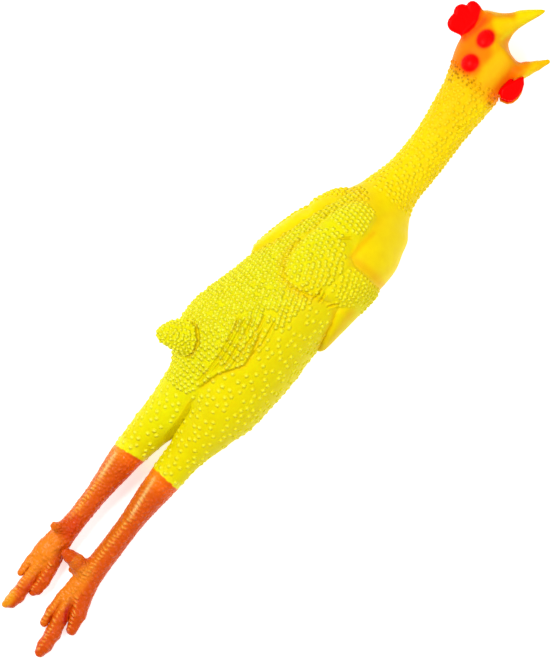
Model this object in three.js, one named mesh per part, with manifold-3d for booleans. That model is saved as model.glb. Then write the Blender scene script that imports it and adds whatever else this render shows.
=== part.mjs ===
// A 22 inch latex rubber chicken, lying limp on its left breast on a flat surface at z = 0.
// Millimetres. +X runs from the feet to the beak, +Y is the side that the back faces, +Z is up.
// The torso is rolled, so the back faces +Y and up, and the neck twists to lay the head flat.
// The skin is one hollow latex casting. It is modelled as its moulded regions, which stay stiff,
// and as the flex zones between them, which bend.
import * as THREE from "three";
import { mergeVertices } from "three/addons/utils/BufferGeometryUtils.js";
import Module from "manifold-3d";

const wasm = await Module();
wasm.setup();

// ---- Driving dimensions ----
const WALL = 2.0; // latex skin
const GAP = 0.4; // between neighbouring regions
const SIDES = 16; // corners round a tube
const TOE_SIDES = 10;
const FLEX_GRIP = 0.6; // clearance round a limb where it passes through the torso wall

// Stations along each hollow region: [x, y, z, half width in the table plane, half height].
// A station of width 0 closes the skin to a point.
const TORSO = [
  [108, -6.7, 21.5, 22.2, 21.5],
  [100, -7, 25.5, 27, 25.5],
  [90, -6.5, 30, 31.5, 30],
  [75, -5.2, 35, 36.2, 35.4],
  [58, -3.4, 38, 39.2, 38.8],
  [40, -1.5, 39, 41, 40],
  [20, 0, 39.2, 41, 40.2],
  [0, 4, 39, 40.5, 40],
  [-20, 5, 38.2, 42, 39],
  [-40, 4, 36.5, 40.5, 37],
  [-54, 2.5, 34.5, 37, 34],
  [-64, 1.5, 33, 31.5, 29.5],
  [-71, 1, 32, 24, 23],
  [-76, 1, 31.5, 14, 14],
  [-78.5, 1, 31, 0, 0],
];
const NECK = [
  [108, -6.7, 21.5, 22.2, 21.5],
  [120, -5.4, 17.6, 17.4, 18],
  [130, -6.25, 16, 15.75, 16.4],
  [140, -6.75, 15.2, 15.25, 15.6],
  [150, -6.75, 15, 15.25, 15.4],
  [160, -6.1, 15, 15.1, 15.4],
  [170, -5.25, 15.2, 15.25, 15.6],
  [180, -4.25, 15.8, 16.25, 16.2],
  [190, -3.25, 16.4, 17.25, 16.8],
  [198, -2.5, 16.8, 18, 17],
];
const NECK_CUTS = [108, 120.5, 149.5, 161.5, 186, 198]; // flex, tube, flex, tube, flex
const HEAD_Z = 17;
const SKULL = [
  [198.4, -2.5, HEAD_Z, 18, 16.8],
  [205, -1.2, HEAD_Z, 19.3, 17],
  [212, 0.4, HEAD_Z, 20.8, 17.2],
  [220, 2.1, HEAD_Z, 22, 17.3],
  [229, 4, HEAD_Z, 20.8, 17.2],
  [237, 6.4, HEAD_Z, 18.2, 16.2],
  [243, 8.2, HEAD_Z, 16.2, 14.6],
  [247, 10.2, HEAD_Z, 13.6, 13.2],
];
const UPPER_BEAK = [
  [247.4, 10.4, HEAD_Z, 13.4, 13],
  [252, 11, HEAD_Z, 11.8, 11.6],
  [256, 9.6, HEAD_Z, 10.2, 10.2],
  [260, 6.8, HEAD_Z, 8.2, 8.8],
  [265, 3.8, HEAD_Z, 6.2, 7.2],
  [270, 1.6, HEAD_Z, 5.2, 6],
  [275, -1.4, HEAD_Z, 3.6, 4.4],
  [278.5, -3.8, HEAD_Z, 2, 2.4],
  [280, -5, HEAD_Z, 0, 0],
];
const JAW = [
  [235.5, -18.3, HEAD_Z, 6.4, 9.5],
  [240.5, -20.6, HEAD_Z, 5.4, 9],
  [245.5, -23.4, HEAD_Z, 4.3, 8],
  [250.5, -26.8, HEAD_Z, 3, 6.2],
  [254.2, -29.6, HEAD_Z, 1.6, 3.2],
  [256, -31, HEAD_Z, 0, 0],
];
const JAW_WAY = [0.85, -0.53, 0];
const JAW_HINGE = [235.5, -18.3, HEAD_Z];
const JAW_BARREL = [6.6, 6.6, 9.7];

// Each leg from inside the hip to the ankle.
const LEG_STATIONS = {
  right: [
    [-50, -13, 46.5, 18, 17.5],
    [-62, -14, 45, 17.6, 17.2],
    [-72, -14.8, 43, 17, 16.8],
    [-80, -14.8, 40.6, 16.8, 16.4],
    [-90, -14.25, 37, 15.6, 15.4],
    [-100, -13.5, 33, 13.6, 13.8],
    [-110, -12.8, 29, 12.3, 12.6],
    [-120, -12.9, 25, 11.6, 11.8],
    [-130, -13.25, 21.5, 11.25, 11.2],
    [-140, -13.4, 18.5, 10.6, 10.6],
    [-150, -13.25, 16, 9.75, 9.8],
    [-160, -13.75, 13.6, 8.75, 9],
    [-170, -14.5, 11.6, 8, 8.4],
    [-180, -15, 10.2, 7.9, 8.2],
    [-190, -15.5, 9, 8, 8],
    [-200, -16, 8.2, 8.1, 7.8],
    [-212, -16.6, 7.4, 8.8, 7.4],
  ],
  left: [
    [-50, 17.2, 20.5, 16.2, 17],
    [-62, 17.2, 19.2, 16, 16.8],
    [-72, 17, 18, 15.8, 16.4],
    [-80, 16.8, 17.2, 15.6, 16.2],
    [-90, 16.4, 16.2, 15, 15.8],
    [-100, 16.2, 15.2, 14.4, 15],
    [-110, 16.5, 14, 13.4, 14],
    [-120, 16.8, 13, 12.2, 13],
    [-130, 17, 12, 11.5, 12],
    [-140, 17.2, 11, 10.7, 11.1],
    [-150, 16.8, 10, 9.75, 10.1],
    [-160, 16.5, 9, 8.6, 9.1],
    [-170, 16, 8.2, 7.7, 8.3],
    [-180, 15.6, 7.8, 7.4, 8],
    [-190, 15.3, 7.6, 7.4, 7.8],
    [-200, 15.5, 7.4, 8, 7.6],
    [-212, 15.6, 7, 9, 7.2],
  ],
};
// hip flex, thigh, hock flex, shank, ankle flex, then the foot
const LEG_CUTS = [-62, -85, -127, -141, -184, -194];
const LEG_REGIONS = ["hip_flex", "thigh", "hock_flex", "shank", "ankle_flex"];

// Feet: a solid pad, and toes that each turn on a round root: [root, tip, root radius, tip radius].
const FEET = {
  right: {
    pad: [
      [-194.5, -15.7, 8.6, 8.1, 7.9],
      [-203, -16.1, 8, 8.2, 7.7],
      [-211, -16.5, 7.4, 8.8, 7.4],
      [-218, -16.8, 7.2, 9.2, 7.2],
      [-226, -17.4, 6.8, 10, 6.8],
      [-232, -18, 6.4, 9.6, 6.2],
      [-237, -18, 6, 7.4, 5.2],
      [-239.5, -18, 5.8, 0, 0],
    ],
    toes: {
      inner: [[-238, -10.7, 5.2], [-259.5, -12.5, 4.2], 3.5, 2.6],
      middle: [[-239, -19.4, 5.2], [-276, -25, 4.8], 4.8, 4.2],
      outer: [[-230.5, -26.4, 4.9], [-250.5, -31.6, 4.2], 4.6, 3.6],
      hallux: [[-213.5, -9.2, 12.6], [-213, 6.4, 19.6], 4.4, 2.6],
    },
  },
  left: {
    pad: [
      [-194.5, 15.4, 7.5, 7.7, 7.7],
      [-203, 15.5, 7.3, 8.5, 7.5],
      [-211, 15.4, 7, 9, 7],
      [-218, 15.2, 6.8, 9.3, 6.8],
      [-226, 15, 6.4, 9.2, 6.4],
      [-232, 15, 6, 8.4, 5.8],
      [-236.5, 15.2, 5.6, 6, 4.8],
      [-238.5, 15.2, 5.4, 0, 0],
    ],
    toes: {
      inner: [[-232, 22.3, 5], [-243.4, 21.8, 4.2], 3.3, 2.4],
      middle: [[-238, 14.4, 5], [-264, 13, 4.6], 4.6, 4],
      outer: [[-228, 6.2, 4.9], [-246.5, 5, 4.6], 4.6, 4],
      hallux: [[-202, 19.8, 14], [-204, 25, 18.4], 4, 2.8],
    },
  },
};
const TOE_LIFTS = [0, 13, 26]; // degrees of lift that the pad is relieved for

const TAIL_FLEX = [
  [-43.5, 27, 51, 10.6, 9.6],
  [-46.5, 35, 56, 10.6, 9.6],
  [-49.2, 41.6, 60, 10.2, 9.2],
];
const TAIL = [
  [-49.5, 42, 60.4, 10.1, 9.1],
  [-51.5, 46.4, 62.8, 9, 8],
  [-53.4, 50.6, 65, 6.6, 5.8],
  [-55, 54, 66.8, 0, 0],
];

const TAIL_WAY = [-0.37, 0.83, 0.42];

// Wings: moulded domes on the torso: [centre, half sizes, turn in degrees about x, y, z].
const WING_ARMS = {
  right: [
    [[47, 4, 69], [26, 20, 14.5], [6, 2, 0]],
    [[79, 0, 61], [21, 10.5, 11], [0, 33, 0]],
    [[54, -23, 66], [12, 20, 11], [36, 0, 8]],
  ],
  left: [
    [[62, 31, 44], [24, 9, 17], [-16, 0, -12]],
    [[86, 19, 42], [15, 8, 12], [-20, 0, -28]],
  ],
};
const WING_HANDS = {
  right: [[24, -35.4, 59.4], [23, 14, 7], [57, 0, -2]],
  left: [[42, 37, 41], [18, 7.6, 17], [-10, 0, -4]],
};
const WING_WRIST_X = { right: 44, left: 40 };
const WING_TIP_X = { right: 2, left: 25 };

// Head trims: [centre, half sizes].
const COMB_AXIS = [[228.5, 28], [252, 27.4]]; // x, y of the two ends of the root
const COMB_ROOT = 2.7;
const COMB_LOBES = [
  [[233.6, 33.4, HEAD_Z], [5.8, 7.8, 2.7]],
  [[242.2, 34.2, HEAD_Z], [5.8, 8.6, 2.7]],
  [[249.4, 32.2, HEAD_Z], [4.5, 6.2, 2.7]],
];
const EYE = [[238.5, 13, 0], [6.2, 5.6, 3]];
const EAR_LOBE = [[219, 10.5, 0], [6.2, 5.6, 2.4]];
const WATTLE = [[224.6, -24.4, 0], [11.4, 6.6, 2]];
const WATTLE_OFFSET = 9.4; // from the head's middle plane

// Squeaker in the vent under the belly. The axis points out of the belly.
const SQUEAKER_AT = [-40, -23.2, 11.9];
const SQUEAKER_AXIS = [0, -0.69, -0.724];
const SQUEAKER = { barrel: 9, depth: 14, flange: 11.4, flangeThick: 1.6, wall: 1.3, reed: 0.6 };

// ---- Solids ----
const RIGHT_ANGLE = Math.PI / 2;
const vector = ([x, y, z]) => new THREE.Vector3(x, y, z);

// Joins neighbouring rings of a profile. A ring is a list of points; one point alone is a pole.
function loft(profile, loop = false) {
  const positions = [];
  const starts = profile.map((ring) => {
    const start = positions.length / 3;
    for (const p of ring) positions.push(p.x, p.y, p.z);
    return start;
  });
  const faces = [];
  const pairs = loop ? profile.length : profile.length - 1;
  for (let i = 0; i < pairs; i++) {
    const j = (i + 1) % profile.length;
    const [near, far] = [profile[i].length, profile[j].length];
    const count = Math.max(near, far);
    for (let k = 0; k < count; k++) {
      const next = (k + 1) % count;
      const [a, b] = near > 1 ? [starts[i] + k, starts[i] + next] : [starts[i], starts[i]];
      const [c, d] = far > 1 ? [starts[j] + k, starts[j] + next] : [starts[j], starts[j]];
      if (near > 1) faces.push(a, b, c);
      if (far > 1) faces.push(b, d, c);
    }
  }
  const geometry = new THREE.BufferGeometry();
  geometry.setAttribute("position", new THREE.Float32BufferAttribute(positions, 3));
  geometry.setIndex(signedVolume(positions, faces) < 0 ? flipped(faces) : faces);
  return geometry;
}

function flipped(faces) {
  const out = [];
  for (let i = 0; i < faces.length; i += 3) out.push(faces[i], faces[i + 2], faces[i + 1]);
  return out;
}

function signedVolume(positions, faces) {
  const at = (i) => new THREE.Vector3().fromArray(positions, i * 3);
  let volume = 0;
  for (let i = 0; i < faces.length; i += 3) {
    volume += at(faces[i]).dot(at(faces[i + 1]).cross(at(faces[i + 2])));
  }
  return volume;
}

// The rings of one surface of a tube: grown is added to each half size. The rings' planes face
// along X, or along the way that is given.
function rings(stations, grown, lowest, way = [1, 0, 0], sides = SIDES) {
  const facing = vector(way).normalize();
  const side = new THREE.Vector3(0, 0, 1).cross(facing).normalize();
  const up = facing.clone().cross(side);
  const out = [];
  stations.forEach(([x, y, z, width, height], i) => {
    const middle = new THREE.Vector3(x, y, z);
    if (width === 0) {
      const outward = middle.clone().sub(vector(stations[i === 0 ? 1 : i - 1])).normalize();
      out.push([middle.addScaledVector(outward, grown)]);
      return;
    }
    if (Math.min(width, height) + grown < 0.5) return;
    const ring = [];
    for (let k = 0; k < sides; k++) {
      const angle = (2 * Math.PI * (k + 0.5)) / sides;
      const point = middle
        .clone()
        .addScaledVector(side, (width + grown) * Math.cos(angle))
        .addScaledVector(up, (height + grown) * Math.sin(angle));
      point.z = Math.max(point.z, lowest);
      ring.push(point);
    }
    out.push(ring);
  });
  return out;
}

const centreOf = (ring) => {
  const sum = new THREE.Vector3();
  for (const p of ring) sum.add(p);
  return [sum.divideScalar(ring.length)];
};

// A tube with a wall, open at each end that isn't a pole.
function tube(stations, way) {
  const outer = rings(stations, 0, 0, way);
  const inner = rings(stations, -WALL, WALL, way).reverse();
  const openStart = stations[0][3] > 0;
  const openEnd = stations[stations.length - 1][3] > 0;
  if (openStart && openEnd) return loft([...outer, ...inner], true);
  return openStart ? loft([...inner, ...outer]) : loft([...outer, ...inner]);
}

// The same shape filled in, larger all round by grown.
function filled(stations, grown = 0, way = undefined) {
  const outer = rings(stations, grown, -grown, way);
  if (outer[0].length > 1) outer.unshift(centreOf(outer[0]));
  if (outer[outer.length - 1].length > 1) outer.push(centreOf(outer[outer.length - 1]));
  return loft(outer);
}

// The stations of a limb between two values of x, in the limb's own direction.
function part(stations, from, to) {
  const at = (x) => {
    const i = stations.findIndex((s, n) => n > 0 && (s[0] - x) * (stations[n - 1][0] - x) <= 0);
    const [a, b] = [stations[i - 1], stations[i]];
    const t = (x - a[0]) / (b[0] - a[0]);
    return a.map((value, n) => value + (b[n] - value) * t);
  };
  const between = stations.filter(([x]) => (x - from) * (x - to) < 0 && Math.abs(x - from) > 2
    && Math.abs(x - to) > 2);
  return [at(from), ...between, at(to)];
}

function ellipsoid(centre, half, turn = [0, 0, 0], grown = 0, detail = [14, 9]) {
  const geometry = new THREE.SphereGeometry(1, ...detail);
  geometry.scale(half[0] + grown, half[1] + grown, half[2] + grown);
  const angles = turn.map(THREE.MathUtils.degToRad);
  geometry.applyQuaternion(new THREE.Quaternion().setFromEuler(new THREE.Euler(...angles)));
  return geometry.translate(...centre);
}

// A rounded cone from one centre to another, each end a half ball of its radius.
function finger([root, tip, rootRadius, tipRadius], grown = 0) {
  const along = vector(tip).sub(vector(root));
  const endSteps = 2;
  const profile = [];
  for (const [radius, height, sign] of [[rootRadius, 0, -1], [tipRadius, along.length(), 1]]) {
    for (let i = 0; i <= endSteps; i++) {
      const turn = (RIGHT_ANGLE * (sign < 0 ? i : endSteps - i)) / endSteps;
      const reach = radius + grown;
      profile.push([reach * Math.sin(turn), height + sign * reach * Math.cos(turn)]);
    }
  }
  const geometry = turned(profile, TOE_SIDES);
  const turnTo = new THREE.Quaternion().setFromUnitVectors(
    new THREE.Vector3(0, 0, 1), along.normalize());
  return geometry.applyQuaternion(turnTo).translate(...root);
}

function block(low, high) {
  const size = high.map((value, i) => value - low[i]);
  const middle = high.map((value, i) => (value + low[i]) / 2);
  return new THREE.BoxGeometry(...size).translate(...middle);
}

function turned(profile, sides = SIDES) {
  const points = profile.map(([radius, height]) => new THREE.Vector2(radius, height));
  return new THREE.LatheGeometry(points, sides).rotateX(RIGHT_ANGLE);
}

// ---- Cuts and joins ----
function solid(geometry) {
  const bare = geometry.clone();
  bare.deleteAttribute("normal");
  bare.deleteAttribute("uv");
  const merged = mergeVertices(bare, 1e-4);
  const mesh = new wasm.Mesh({
    numProp: 3,
    vertProperties: new Float32Array(merged.attributes.position.array),
    triVerts: new Uint32Array(merged.index.array),
  });
  return new wasm.Manifold(mesh);
}

function geometryOf(shape) {
  const mesh = shape.getMesh();
  const geometry = new THREE.BufferGeometry();
  const { vertProperties, triVerts, numProp } = mesh;
  const points = [];
  for (let i = 0; i < vertProperties.length; i += numProp) {
    points.push(vertProperties[i], vertProperties[i + 1], vertProperties[i + 2]);
  }
  geometry.setAttribute("position", new THREE.Float32BufferAttribute(points, 3));
  geometry.setIndex(Array.from(triVerts));
  return geometry;
}

const joined = (geometries) => geometries.map(solid).reduce((a, b) => a.add(b));
const without = (shape, geometries) => geometries.map(solid).reduce((a, b) => a.subtract(b), shape);

// The largest separate body of a shape, so that offcuts are dropped.
function mainBody(shape) {
  const bodies = shape.decompose();
  return bodies.reduce((a, b) => (b.volume() > a.volume() ? b : a));
}

// ---- The object ----
const chicken = new THREE.Group();
const COLOURS = {
  skin: [0xf2e010, 0.42],
  head: [0xffa010, 0.4],
  red: [0xe81208, 0.38],
  leg: [0xe8660f, 0.36],
  plastic: [0xf4f2ea, 0.35],
  reed: [0xd8d4c4, 0.3],
};

function show(name, geometry, colour) {
  geometry.computeVertexNormals();
  const [tint, roughness] = COLOURS[colour];
  const mesh = new THREE.Mesh(
    geometry, new THREE.MeshStandardMaterial({ color: tint, roughness, metalness: 0 }));
  mesh.name = name;
  chicken.add(mesh);
}

// Squeaker: placed along its own axis, z pointing out of the belly.
const squeakerTurn = new THREE.Quaternion().setFromUnitVectors(
  new THREE.Vector3(0, 0, 1), vector(SQUEAKER_AXIS).normalize());
const toVent = (geometry) => geometry.applyQuaternion(squeakerTurn).translate(...SQUEAKER_AT);
const { barrel, depth, flange, flangeThick, wall, reed } = SQUEAKER;

const torsoCuts = [
  filled(part(LEG_STATIONS.right, -50, -92), FLEX_GRIP),
  filled(part(LEG_STATIONS.left, -50, -92), FLEX_GRIP),
  filled(TAIL_FLEX, FLEX_GRIP, TAIL_WAY),
  toVent(turned([[0, -depth], [barrel + GAP, -depth], [barrel + GAP, 9], [0, 9]])),
];
show("torso_shell", geometryOf(mainBody(without(solid(tube(TORSO)), torsoCuts))), "skin");
const torsoKeepOut = filled(TORSO, GAP);

// The squeaker's barrel is a cup that opens outward. Its flange lies outside the latex.
const lip = 4.6; // the flange's height over the barrel's origin
show("squeaker_barrel", toVent(turned([
  [0, -depth], [barrel, -depth], [barrel, lip], [flange, lip], [flange, lip + flangeThick],
  [barrel - wall, lip + flangeThick], [barrel - wall, -depth + wall], [0, -depth + wall],
])), "plastic");
show("squeaker_carrier", toVent(turned([
  [0, -8], [barrel - wall - GAP, -8], [barrel - wall - GAP, -4.4], [0, -4.4],
])), "plastic");
show("squeaker_reed", toVent(block([-1.8, -5.6, -3.9], [1.8, 5.6, -3.9 + reed])), "reed");
const slots = [-3.6, 0, 3.6].map((x) => block([x - 0.8, -4.6, 1], [x + 0.8, 4.6, 6]));
show("squeaker_grille", toVent(geometryOf(without(solid(turned([
  [0, 2.4], [barrel - wall - GAP, 2.4], [barrel - wall - GAP, 4.2], [0, 4.2],
])), slots))), "plastic");

// Tail: a flex zone through the torso wall, then the closed tip.
show("tail_flex", tube(TAIL_FLEX, TAIL_WAY), "skin");
show("tail_tip", tube(TAIL, TAIL_WAY), "skin");

// Neck: flex zones and tubes by turns.
const neckNames = ["neck_base_flex", "neck_lower", "neck_middle_flex", "neck_upper", "head_flex"];
neckNames.forEach((name, i) => {
  const [from, to] = [NECK_CUTS[i] + GAP, NECK_CUTS[i + 1]];
  show(name, tube(part(NECK, from, to)), "skin");
});

// Head.
const barrelRoot = (grown) => ellipsoid(JAW_HINGE, JAW_BARREL, [0, 0, 0], grown);
const skull = without(solid(tube(SKULL)), [barrelRoot(GAP), filled(JAW, GAP, JAW_WAY)]);
show("skull", geometryOf(mainBody(skull)), "head");
show("upper_beak", tube(UPPER_BEAK), "head");
show("lower_beak", geometryOf(joined([filled(JAW, 0, JAW_WAY), barrelRoot(0)])), "head");
const headKeepOut = [filled(SKULL, GAP), filled(UPPER_BEAK, GAP), filled(JAW, GAP, JAW_WAY), barrelRoot(GAP)];

const combStart = [...COMB_AXIS[0], HEAD_Z];
const combEnd = [...COMB_AXIS[1], HEAD_Z];
const combRoot = finger([combStart, combEnd, COMB_ROOT, COMB_ROOT]);
const combLobes = COMB_LOBES.map(([centre, half]) => ellipsoid(centre, half));
show("comb", geometryOf(joined([combRoot, ...combLobes])), "red");

// Pads on both sides of the head: +1 is the right side, which faces up.
for (const [sideName, up] of [["right", 1], ["left", -1]]) {
  const skullHeight = (x, y) => {
    const [[, middle, , width, height]] = part(SKULL, x, x + 1);
    return height * Math.sqrt(Math.max(0, 1 - ((y - middle) / width) ** 2));
  };
  const pad = ([[x, y], half]) => {
    const centre = [x, y, HEAD_Z + up * (skullHeight(x, y) - 0.6)];
    return geometryOf(mainBody(without(solid(ellipsoid(centre, half)), headKeepOut)));
  };
  show(`eye_${sideName}`, pad(EYE), "red");
  show(`ear_lobe_${sideName}`, pad(EAR_LOBE), "red");
  const [[x, y], half] = WATTLE;
  const wattle = ellipsoid([x, y, HEAD_Z + up * WATTLE_OFFSET], half);
  show(`wattle_${sideName}`, geometryOf(mainBody(without(solid(wattle), headKeepOut))), "red");
}

// Wings: domes moulded over the torso, each with a free hand past the wrist.
for (const sideName of ["right", "left"]) {
  const wrist = WING_WRIST_X[sideName];
  const arms = WING_ARMS[sideName];
  const outside = joined(arms.map(([c, h, turn]) => ellipsoid(c, h, turn)));
  const inside = arms.map(([c, h, turn]) => ellipsoid(c, h, turn, -WALL));
  const handSpace = ellipsoid(...WING_HANDS[sideName], GAP + 0.2);
  const beforeWrist = block([-60, -80, -5], [wrist + GAP, 80, 120]);
  const handCut = solid(handSpace).intersect(solid(beforeWrist));
  const arm = without(outside, [torsoKeepOut, ...inside]).subtract(handCut);
  show(`wing_arm_${sideName}`, geometryOf(mainBody(arm)), "skin");

  const pastWrist = block([wrist - GAP, -80, -5], [wrist + 80, 80, 120]);
  const pastTip = block([-60, -80, -5], [WING_TIP_X[sideName], 80, 120]);
  const handCuts = [torsoKeepOut, pastWrist, pastTip];
  const hand = without(solid(ellipsoid(...WING_HANDS[sideName])), handCuts);
  show(`wing_hand_${sideName}`, geometryOf(mainBody(hand)), "skin");
}

// Legs and feet.
// A toe's space when it is lifted about its root by an angle in degrees.
function lifted([root, tip, rootRadius, tipRadius], degrees) {
  const along = vector(tip).sub(vector(root));
  const level = new THREE.Vector3(along.x, along.y, 0).normalize();
  const axle = level.clone().cross(new THREE.Vector3(0, 0, 1));
  along.applyAxisAngle(axle, THREE.MathUtils.degToRad(degrees));
  return [root, vector(root).add(along).toArray(), rootRadius, tipRadius];
}

for (const [sideName, stations] of Object.entries(LEG_STATIONS)) {
  LEG_REGIONS.forEach((region, i) => {
    const colour = i < 3 ? "skin" : "leg";
    const limb = part(stations, LEG_CUTS[i] - GAP, LEG_CUTS[i + 1]);
    show(`${region}_${sideName}`, tube(limb), colour);
  });
  const { pad, toes } = FEET[sideName];
  const relief = Object.values(toes).flatMap(
    (toe) => TOE_LIFTS.flatMap((angle) => finger(lifted(toe, angle), GAP)));
  show(`foot_${sideName}`, geometryOf(mainBody(without(solid(filled(pad)), relief))), "leg");
  for (const [toeName, toe] of Object.entries(toes)) {
    show(`toe_${toeName}_${sideName}`, finger(toe), "leg");
  }
}

export default chicken;
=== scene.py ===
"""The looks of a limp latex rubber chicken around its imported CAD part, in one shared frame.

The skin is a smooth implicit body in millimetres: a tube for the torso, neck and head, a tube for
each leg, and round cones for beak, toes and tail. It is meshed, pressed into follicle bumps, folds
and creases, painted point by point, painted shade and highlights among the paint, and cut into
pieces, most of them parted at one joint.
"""

import functools
import itertools
import math

import bpy
import numpy as np
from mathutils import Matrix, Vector, kdtree


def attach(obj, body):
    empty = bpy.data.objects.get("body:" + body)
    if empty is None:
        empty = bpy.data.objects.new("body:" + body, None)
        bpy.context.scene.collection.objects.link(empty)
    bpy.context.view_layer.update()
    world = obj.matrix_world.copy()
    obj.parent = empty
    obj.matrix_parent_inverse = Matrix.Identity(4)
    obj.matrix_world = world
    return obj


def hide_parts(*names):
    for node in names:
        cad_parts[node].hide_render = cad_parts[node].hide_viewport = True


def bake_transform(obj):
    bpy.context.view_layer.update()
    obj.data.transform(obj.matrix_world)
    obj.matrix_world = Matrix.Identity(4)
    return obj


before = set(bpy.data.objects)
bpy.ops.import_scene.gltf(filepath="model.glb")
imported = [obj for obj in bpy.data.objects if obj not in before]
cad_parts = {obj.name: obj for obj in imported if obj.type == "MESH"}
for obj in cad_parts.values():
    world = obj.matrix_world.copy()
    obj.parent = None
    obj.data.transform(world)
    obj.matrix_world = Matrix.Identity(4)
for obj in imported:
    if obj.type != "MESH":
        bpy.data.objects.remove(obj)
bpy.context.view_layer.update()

# ---------------------------------------- dimensions, in millimetres
STEP = 0.7  # mesh fineness
HEAD_Z = 17.0

# x, top y, bottom y, middle z, half height
TRUNK_ROWS = [
    (-84, 30, -32, 31, 25), (-70, 31.4, -34.5, 32, 28), (-64, 34.8, -35.6, 33, 30.1),
    (-60, 38.8, -36.3, 33.6, 31.4),
    (-50, 45, -37.2, 35.2, 34.8), (-40, 48.6, -37.8, 36.6, 37.4), (-30, 49.6, -38, 37.8, 39),
    (-20, 49, -37.8, 38.6, 40), (-10, 47.3, -37, 39.2, 40.8), (0, 44.8, -36.4, 39.6, 41.2),
    (10, 42.6, -37.2, 39.8, 41.4), (20, 40.8, -38.2, 39.6, 41.2), (30, 39.2, -39.4, 39.2, 40.8),
    (40, 37.6, -40.6, 38.8, 40.4), (50, 35.6, -41.6, 38.2, 39.8), (60, 33.4, -42, 37.4, 38.8),
    (70, 30.8, -42.4, 36, 37.2), (80, 28, -41.6, 33.6, 34.6), (90, 24, -38.3, 30, 30.8),
    (100, 19.4, -34.8, 25.6, 26.2), (105, 16.8, -31, 23.4, 23.8), (110, 14.8, -27.6, 21.5, 21.8),
    (115, 13.4, -25, 20, 20.2), (120, 12, -23.2, 18.6, 18.8), (130, 9.6, -22.1, 17, 17.2),
    (140, 8.6, -22, 16, 16.3), (150, 8.5, -21.9, 15.6, 15.9), (160, 9, -21.3, 15.6, 15.8),
    (170, 10.1, -20.7, 15.8, 16), (180, 12, -20.5, 16.2, 16.4), (190, 14, -20.6, 16.6, 16.8),
]
# The head lies flat, its middle at HEAD_Z: x, top y, bottom y, half height
HEAD_ROWS = [
    (200, 16.2, -20.9, 17), (205, 18, -21, 17), (210, 20, -20.6, 17.2), (215, 22.2, -19.6, 17.4),
    (220, 24.2, -18.8, 17.4), (228, 26.2, -18.6, 17.2), (235, 26.4, -19.2, 16.6), (239, 26, -17.4, 15.8),
    (240.4, 25.9, -14.4, 15.4), (241.1, 25.8, -12, 15.2), (241.6, 25.7, -9.6, 15), (242.3, 25.7, -7, 14.7),
    (243.7, 25.7, -4.2, 14.2), (246, 25.7, -1.5, 13.4), (250, 25.9, 0, 11.8), (252.6, 26.4, 0.5, 10.8),
    (254.4, 25, 0.6, 10.1), (257, 20.2, 0.4, 9), (260, 15.5, -0.2, 7.8), (265, 10.4, -1.7, 6),
    (268.5, 8.2, -2.9, 5.2), (272, 4.9, -4.2, 4.3), (276, 0.4, -5.6, 3.1), (279, -3, -6.2, 2),
    (281, -4.8, -6.4, 1),
]
TRUNK_ROWS += [(x, top, bottom, HEAD_Z, high) for x, top, bottom, high in HEAD_ROWS]
LEG_ROWS = {
    "right": [
        (-236, -8, -28, 6.4, 6.2), (-228, -7.6, -27.4, 6.8, 6.8), (-220, -7.8, -26.2, 7.2, 7.2),
        (-210, -8, -25.4, 7.8, 7.6), (-200, -7.9, -24.5, 8.5, 8), (-190, -7.5, -24, 9.3, 8.2),
        (-180, -7, -23.5, 10.4, 8.4), (-170, -6.4, -23, 11.8, 8.6), (-160, -5, -23, 13.8, 9.2),
        (-150, -3.6, -23.6, 16, 10), (-140, -2.6, -24.4, 17, 10.8), (-130, -1.8, -24.8, 18.4, 11.6),
        (-120, -1, -25, 20.2, 12.6), (-110, -0.3, -25.8, 22.6, 14.2), (-100, 3.4, -27.8, 25.6, 16.6),
        (-90, 6.6, -30.4, 29.4, 19.4), (-80, 11, -32.6, 33.4, 22.4), (-70, 14, -34, 37, 24.4),
        (-60, 11, -33, 38, 25.5), (-48, 12, -32, 39, 26),
    ],
    "left": [
        (-236, 24, 4, 6, 6), (-228, 24.6, 3.4, 6.6, 6.8), (-218, 24.9, 4.6, 7, 7.2),
        (-210, 24.4, 5.7, 7.3, 7.5), (-200, 23.2, 7, 7.6, 7.8), (-190, 22.6, 7.5, 7.8, 8),
        (-180, 23, 7.7, 8, 8.2), (-170, 23.6, 7.7, 8.4, 8.6), (-160, 25, 7.2, 9.2, 9.4),
        (-150, 26.6, 6.4, 10.4, 10.6), (-140, 28, 5.7, 11.8, 11.9), (-130, 28.6, 4.8, 13.4, 13.2),
        (-120, 29, 3.4, 16, 15.2), (-110, 29.8, 1.4, 19.2, 17), (-100, 30.2, -3, 22.6, 18.8),
        (-90, 30.8, -6, 25.8, 20.8), (-80, 32.2, -8, 29, 22.8), (-70, 32.4, -8, 32, 24.4),
        (-60, 32, 0, 33, 25.5), (-48, 31, 2, 34, 26),
    ],
}
REAR_X = -75.0  # the torso's end between the legs
BEAK_TIP_X = 280.2

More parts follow.
